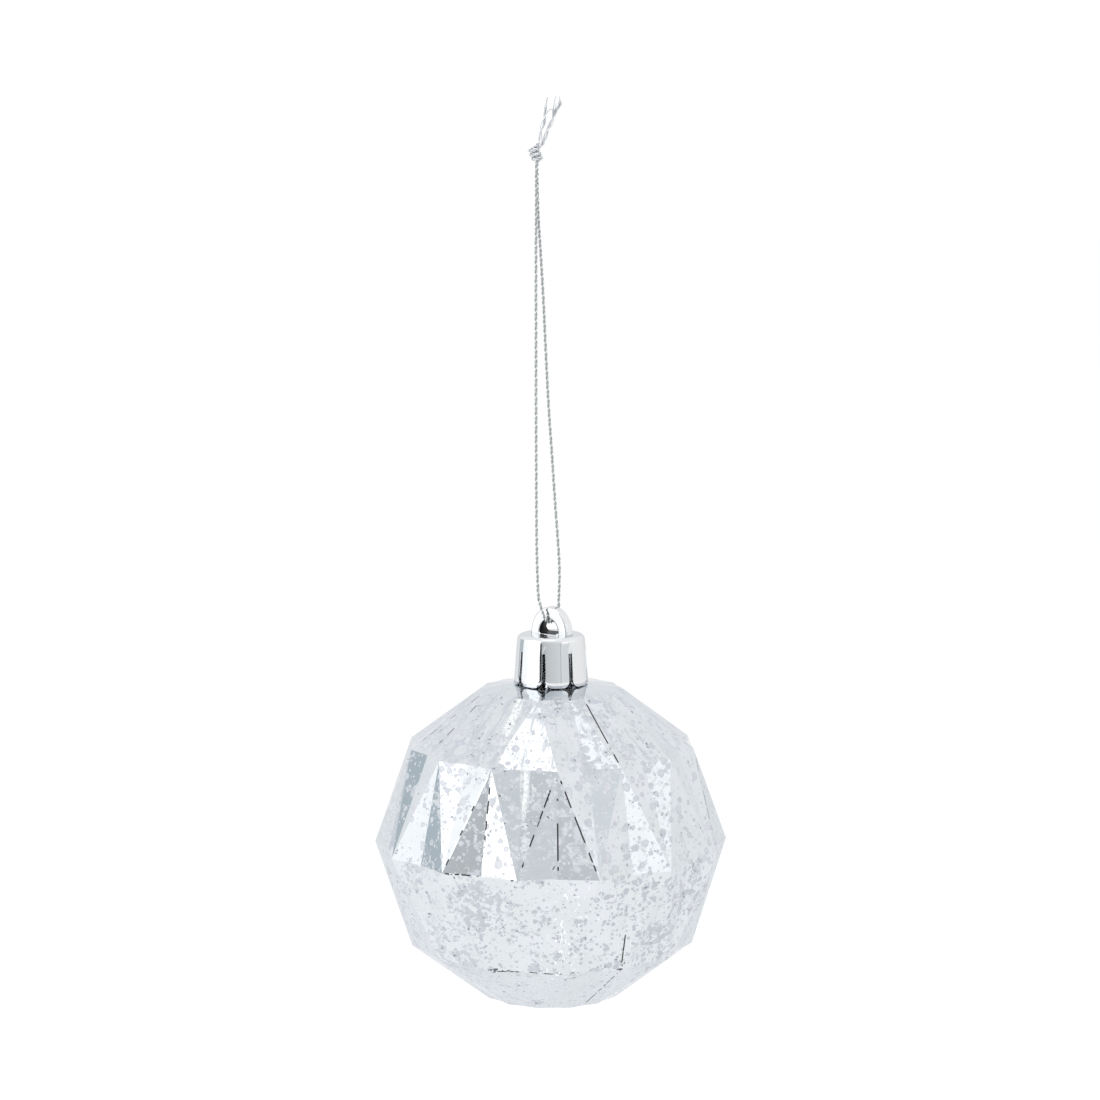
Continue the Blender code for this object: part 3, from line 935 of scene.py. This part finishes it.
    def mirror(self, lifted):
        """The coat's own colour: a faint haze, and bright and dull wrinkles where it has lifted."""
        haze = self.grain(110.0, 140.0, detail=5.0, roughness=0.62)
        plain = self.blend(self.ramp(haze, 0.38, 0.62), (0.690, 0.732, 0.750), (0.742, 0.768, 0.802))
        wrinkled = self.blend(self.ramp(self.wrinkle, 0.42, 0.56), (0.62, 0.66, 0.67), WHITE)
        return self.blend(lifted, plain, wrinkled)

    def behind(self, dotted, rims):
        """What shows through the gaps: one colour in the dots, darker at their rims, another in stains."""
        high = self.blend(self.ramp(self.depth, 0.38, 0.66), (0.64, 0.66, 0.70), (0.51, 0.535, 0.58))
        low = self.blend(self.depth, (0.55, 0.57, 0.61), (0.44, 0.46, 0.52))
        in_dot = self.blend(rims, self.blend(self.lower, high, low), (0.50, 0.52, 0.56))
        high_stain = self.blend(self.on_crown, (0.65, 0.68, 0.71), (0.47, 0.49, 0.55))
        low_stain = self.blend(self.depth, (0.58, 0.60, 0.64), (0.40, 0.42, 0.48))
        return self.blend(dotted, self.blend(self.lower, high_stain, low_stain), in_dot)


def silver_material():
    """The coat with everything laid over it, from the gaps to the cracks."""
    coat = Silver()
    big, big_rim = coat.dots(5.0 * MM, 0.12, 0.38, 0.66, in_lower=0.6)
    middle, middle_rim = coat.dots(2.1 * MM, 0.18, 0.48, 0.98, in_lower=0.78)
    tiny, _ = coat.dots(1.15 * MM, 0.20, 0.44, 0.75)
    dotted = coat.largest(big, middle, tiny)
    near_neck = coat.ramp(coat.height, CROWN_HEIGHT + 0.1 * MM, CROWN_HEIGHT + 0.4 * MM, 1.0, 0.2)
    gaps = coat.times(coat.largest(dotted, coat.stains()), near_neck)
    lifted = coat.wrinkles()
    rims = coat.largest(big_rim, middle_rim)
    colour = coat.blend(gaps, coat.mirror(lifted), coat.behind(dotted, rims))
    open_and_glint_share = gaps
    for share, tone in (
        # Near-white specks painted as glints: painted highlights.
        (coat.painted_glints(), (0.94, 0.95, 0.97)),
        (coat.specks(), (0.16, 0.16, 0.20)),
        (coat.chips(), (0.11, 0.11, 0.14)),
        (coat.cracks(), (0.015, 0.015, 0.018)),
    ):
        colour = coat.blend(share, colour, tone)
        open_and_glint_share = coat.largest(open_and_glint_share, share)
    coat.set("Base Color", colour)
    coat.set("Metallic", coat.ramp(open_and_glint_share, 0.0, 1.0, 1.0, 0.15))
    rough = coat.math("MULTIPLY_ADD", lifted, 0.30, 0.045)
    coat.set("Roughness", coat.largest(rough, coat.times(open_and_glint_share, 0.35)))
    coat.set("Specular Tint", (0.80, 0.82, 0.85))
    coat.set("Coat Weight", 0.2)
    coat.set("Coat Roughness", 0.02)
    coat.set("Coat IOR", 1.5)
    relief = coat.minus(coat.grain(130.0, 130.0), coat.times(gaps, 0.02))
    relief = coat.plus(relief, coat.times(coat.times(coat.wrinkle, lifted), 0.4))
    coat.set("Normal", coat.bump(relief, 0.25, 0.25 * MM))
    return coat.material


def build_ball():
    ball = link("silvered_ball", build_ball_mesh(), silver_material())
    ball.location = BALL_CENTRE
    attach(ball, "ball")
    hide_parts("ball_shell")


# ---- the cap


SECTOR_STEPS = 20  # columns across one finger
ROOF_STEPS = 8


def finger_foot(distance_to_slot):
    """The height of a finger's lower edge, which curls up in a quarter circle next to a slot."""
    if distance_to_slot >= FINGER_CORNER:
        return CAP_LOW
    inwards = FINGER_CORNER - distance_to_slot
    return CAP_LOW + FINGER_CORNER - math.sqrt(FINGER_CORNER ** 2 - inwards ** 2)


def cap_radius(height):
    share = (height - CAP_LOW) / (CAP_HIGH - CAP_LOW)
    return CAP_RADIUS_LOW + share * (CAP_RADIUS_HIGH - CAP_RADIUS_LOW)


def cap_columns():
    """Angles round the cap, each with its distance to the nearest slot, and whether the next is joined."""
    columns = []
    half_slot = math.degrees(SLOT_WIDTH / 2 / CAP_RADIUS_LOW)
    for finger in range(FINGERS):
        start = FIRST_SLOT_DEG + finger * 360.0 / FINGERS + half_slot
        end = FIRST_SLOT_DEG + (finger + 1) * 360.0 / FINGERS - half_slot
        for step in range(SECTOR_STEPS + 1):
            # Columns crowd near the slots, where the finger's corners are round.
            share = 0.5 - 0.5 * math.cos(math.pi * step / SECTOR_STEPS)
            angle = start + share * (end - start)
            gap = math.radians(min(angle - start, end - angle)) * CAP_RADIUS_LOW
            columns.append((angle, gap, step < SECTOR_STEPS))
    return columns


def cup_column(angle, gap):
    """Points up one side of the cup, round its edge and in over its roof."""
    heights = [finger_foot(gap), CAP_LOW + FINGER_CORNER, CUP_MIDDLE, SLOT_TOP]
    column = [round_the_axis(cap_radius(z), angle, z) for z in heights]
    flat_radius = CAP_RADIUS_HIGH - CAP_EDGE
    for step in range(ROOF_STEPS + 1):
        turn = math.radians(90.0 * step / ROOF_STEPS)
        height = CAP_HIGH - CAP_EDGE + CAP_EDGE * math.sin(turn)
        column.append(round_the_axis(flat_radius + CAP_EDGE * math.cos(turn), angle, height))
    for share in (0.75, 0.5, 0.25):
        column.append(round_the_axis(flat_radius * share, angle, CAP_HIGH))
    return column


def build_cup_mesh():
    """The outside of the cup as one sheet with open slots. Solidify gives it its wall."""
    bm = bmesh.new()
    columns = cap_columns()
    rows = [[bm.verts.new(p) for p in cup_column(angle, gap)] for angle, gap, _ in columns]
    centre = bm.verts.new((0.0, 0.0, CAP_HIGH))
    slot_top_row = 3
    for index, (_, _, joins_next) in enumerate(columns):
        this, following = rows[index], rows[(index + 1) % len(rows)]
        first = 0 if joins_next else slot_top_row
        for low in range(first, len(this) - 1):
            bm.faces.new((this[low], following[low], following[low + 1], this[low + 1]))
        bm.faces.new((this[-1], following[-1], centre))
    return mesh_from(bm, "cap_cup")


def eye_sections(steps):
    """Inner and outer ends of the arch's sections, from one foot over the top to the other foot."""
    sections = []
    for index in range(steps + 1):
        angle = math.pi * index / steps
        outer = Vector((EYE_HALF_WIDTH * math.cos(angle), EYE_HEIGHT * math.sin(angle)))
        inner = Vector((HOLE_HALF_WIDTH * math.cos(angle), HOLE_SPRING + HOLE_RISE * math.sin(angle)))
        sections.append((inner, outer))
    for side, place in ((1, 0), (-1, len(sections) + 1)):
        foot = (Vector((side * HOLE_HALF_WIDTH, -EYE_ROOT)), Vector((side * EYE_HALF_WIDTH, -EYE_ROOT)))
        sections.insert(place, foot)
    return sections


SILL_FRONT_HEIGHT = 0.03 * MM
SILL_BACK_HEIGHT = 0.42 * MM
SILL_THICKNESS = EYE_THICKNESS + 0.04 * MM
SILL_INTO_FEET = 0.3 * MM
SILL_FILLETS = (0.35 * MM, 0.80 * MM)  # where the hole's floor turns up into its walls, front and back
SILL_SHADE_END = 0.80 * MM  # the plating reaches this far in from the right foot; the rest of the floor's top is painted shade
SILL_STEPS = 24
EYE_STEPS = 48
EYE_CORNER_STEPS = 5
HOLE_SHADE_CORNER_STEPS = 3  # how far round its edges the painted shade inside the hole goes


def rounded_section(bm, inner, outer):
    """A rounded rectangle from the inner to the outer end, as thick as the eye."""
    along = (outer - inner).normalized()
    half = EYE_THICKNESS / 2 - EYE_EDGE
    points = []
    for corner, (end, side) in enumerate(((outer, 1), (inner, 1), (inner, -1), (outer, -1))):
        inwards = -1 if corner in (0, 3) else 1
        centre = end + inwards * EYE_EDGE * along
        for step in range(EYE_CORNER_STEPS + 1):
            turn = math.radians(90.0 * (corner + step / EYE_CORNER_STEPS))
            place = centre + EYE_EDGE * math.cos(turn) * along
            points.append(bm.verts.new((place.x, side * half + EYE_EDGE * math.sin(turn), place.y)))
    return points


def build_eye_mesh():
    """The arch. Its inner faces, round the hole, take the second material, which is painted shade."""
    bm = bmesh.new()
    rings = [rounded_section(bm, inner, outer) for inner, outer in eye_sections(EYE_STEPS)]
    inside = 2 * EYE_CORNER_STEPS + 1
    for first, second in zip(rings, rings[1:]):
        for index, face in enumerate(band(bm, first, second)):
            face.material_index = 1 if abs(index - inside) <= HOLE_SHADE_CORNER_STEPS else 0
    bm.faces.new(rings[0])
    bm.faces.new(list(reversed(rings[-1])))
    bmesh.ops.recalc_face_normals(bm, faces=bm.faces)
    return mesh_from(bm, "cap_eye")


ROOF_RING_PITCH = 2.1 * MM


def plating_material():
    """Mirror-bright metallised plastic: faint moulding waves, rings on the roof and a few pits."""
    graph = Graph("bright_plating")
    waves = graph.grain(260.0, 120.0)
    pitted = graph.ramp(graph.grain(2600.0, 2600.0), 0.70, 0.76)
    graph.set("Base Color", graph.blend(pitted, (0.775, 0.79, 0.805), (0.50, 0.52, 0.55)))
    graph.set("Metallic", 1.0)
    graph.set("Specular Tint", (0.78, 0.79, 0.80))
    graph.set("Roughness", graph.ramp(waves, 0.3, 0.7, 0.05, 0.09))
    x, y, z = graph.split(graph.place)[:3]
    reach = graph.math("SQRT", graph.plus(graph.times(x, x), graph.times(y, y)))
    of_cup = graph.math("GREATER_THAN", z, SLOT_TOP)
    swell = graph.math("SINE", graph.times(reach, 2.0 * math.pi / ROOF_RING_PITCH))
    on_roof = graph.ramp(reach, 0.85 * CAP_RADIUS_HIGH, 0.75 * CAP_RADIUS_HIGH)
    rings = graph.times(swell, graph.times(on_roof, of_cup))
    graph.set("Normal", graph.bump(graph.math("MULTIPLY_ADD", rings, 1.1, waves), 0.25, 0.12 * MM))
    return graph.material


def hole_shade_material():
    """Painted shade for the dark inside of the eye's hole: near-black with a dull gloss."""
    graph = Graph("painted_hole_shade")
    mottle = graph.grain(900.0, 900.0, detail=3.0)
    # Near-black painted shade, standing in for the dark inside of the hole.
    graph.set("Base Color", graph.blend(mottle, (0.004, 0.004, 0.005), (0.012, 0.012, 0.014)))
    graph.set("Roughness", graph.ramp(mottle, 0.3, 0.7, 0.30, 0.50))
    graph.set("Specular IOR Level", 0.2)
    return graph.material


def inner_material():
    """The cup's inside: a darker, rougher, mottled grey metal than its outside."""
    graph = Graph("cup_inside_grey_metal")
    mottle = graph.grain(700.0, 700.0, detail=3.0)
    graph.set("Base Color", graph.blend(mottle, (0.26, 0.27, 0.28), (0.50, 0.52, 0.53)))
    graph.set("Metallic", 1.0)
    graph.set("Roughness", graph.ramp(mottle, 0.3, 0.7, 0.22, 0.38))
    return graph.material


def sill_lift(across, fillet):
    """How much the hole's floor has turned up at that distance from its middle."""
    inwards = max(0.0, fillet - max(0.0, HOLE_HALF_WIDTH - abs(across)))
    return fillet - math.sqrt(fillet ** 2 - inwards ** 2)


def build_sill_mesh():
    """The hole's floor, which slopes up to the back and up to both feet. Most of its top is painted shade
    instead of plating.
    """
    bm = bmesh.new()
    reach = HOLE_HALF_WIDTH + SILL_INTO_FEET
    front, back = -SILL_THICKNESS / 2, SILL_THICKNESS / 2
    columns = []
    for step in range(SILL_STEPS + 1):
        x = -reach + 2.0 * reach * step / SILL_STEPS
        front_lift, back_lift = (sill_lift(x, fillet) for fillet in SILL_FILLETS)
        profile = [
            (front, -EYE_ROOT),
            (back, -EYE_ROOT),
            (back, SILL_BACK_HEIGHT + back_lift),
            (front, SILL_FRONT_HEIGHT + front_lift),
        ]
        columns.append([bm.verts.new((x, y, z)) for y, z in profile])
    bm.faces.new(list(reversed(columns[0])))
    bm.faces.new(columns[-1])
    for first, second in zip(columns, columns[1:]):
        in_hole_shade = first[0].co.x < HOLE_HALF_WIDTH - SILL_SHADE_END
        floor_face = band(bm, first, second)[2]
        floor_face.material_index = 1 if in_hole_shade else 0
    bmesh.ops.recalc_face_normals(bm, faces=bm.faces)
    return mesh_from(bm, "cap_sill")


def build_cup(plating):
    """The cup, with its wall and its rounded edges."""
    cup = link("cap_cup", build_cup_mesh(), plating, inner_material())
    cup.location = BALL_CENTRE
    cup.data.shade_smooth()
    wall = cup.modifiers.new("wall", "SOLIDIFY")
    wall.thickness = CAP_WALL
    wall.offset = -1.0
    wall.material_offset = 1
    rounding = cup.modifiers.new("rounding", "BEVEL")
    rounding.width = 0.12 * MM
    rounding.segments = 2
    rounding.limit_method = "ANGLE"
    rounding.angle_limit = math.radians(50.0)
    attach(cup, "cap")
    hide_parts("cap")


def build_eye(plating):
    """The arch and its hole's floor, turned away from the camera, on the cup's roof."""
    hole_shade = hole_shade_material()
    turn = Matrix.Rotation(math.radians(EYE_TURN_DEG), 3, "Z")
    eye = link("cap_eye", build_eye_mesh(), plating, hole_shade)
    eye.data.shade_smooth()
    sill = link("cap_sill", build_sill_mesh(), plating, hole_shade)
    for piece in (eye, sill):
        piece.rotation_euler = (0.0, 0.0, math.radians(EYE_TURN_DEG))
        piece.location = BALL_CENTRE + turn @ Vector((EYE_SHIFT, 0.0, 0.0)) + Vector((0.0, 0.0, CAP_HIGH))
        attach(piece, "cap")


build_camera()
build_room()
build_lights()
cord, cord_path = build_cord()
frayed_ends = build_filaments()
build_floor()
build_ball()
bright_plating = plating_material()
build_cup(bright_plating)
build_eye(bright_plating)
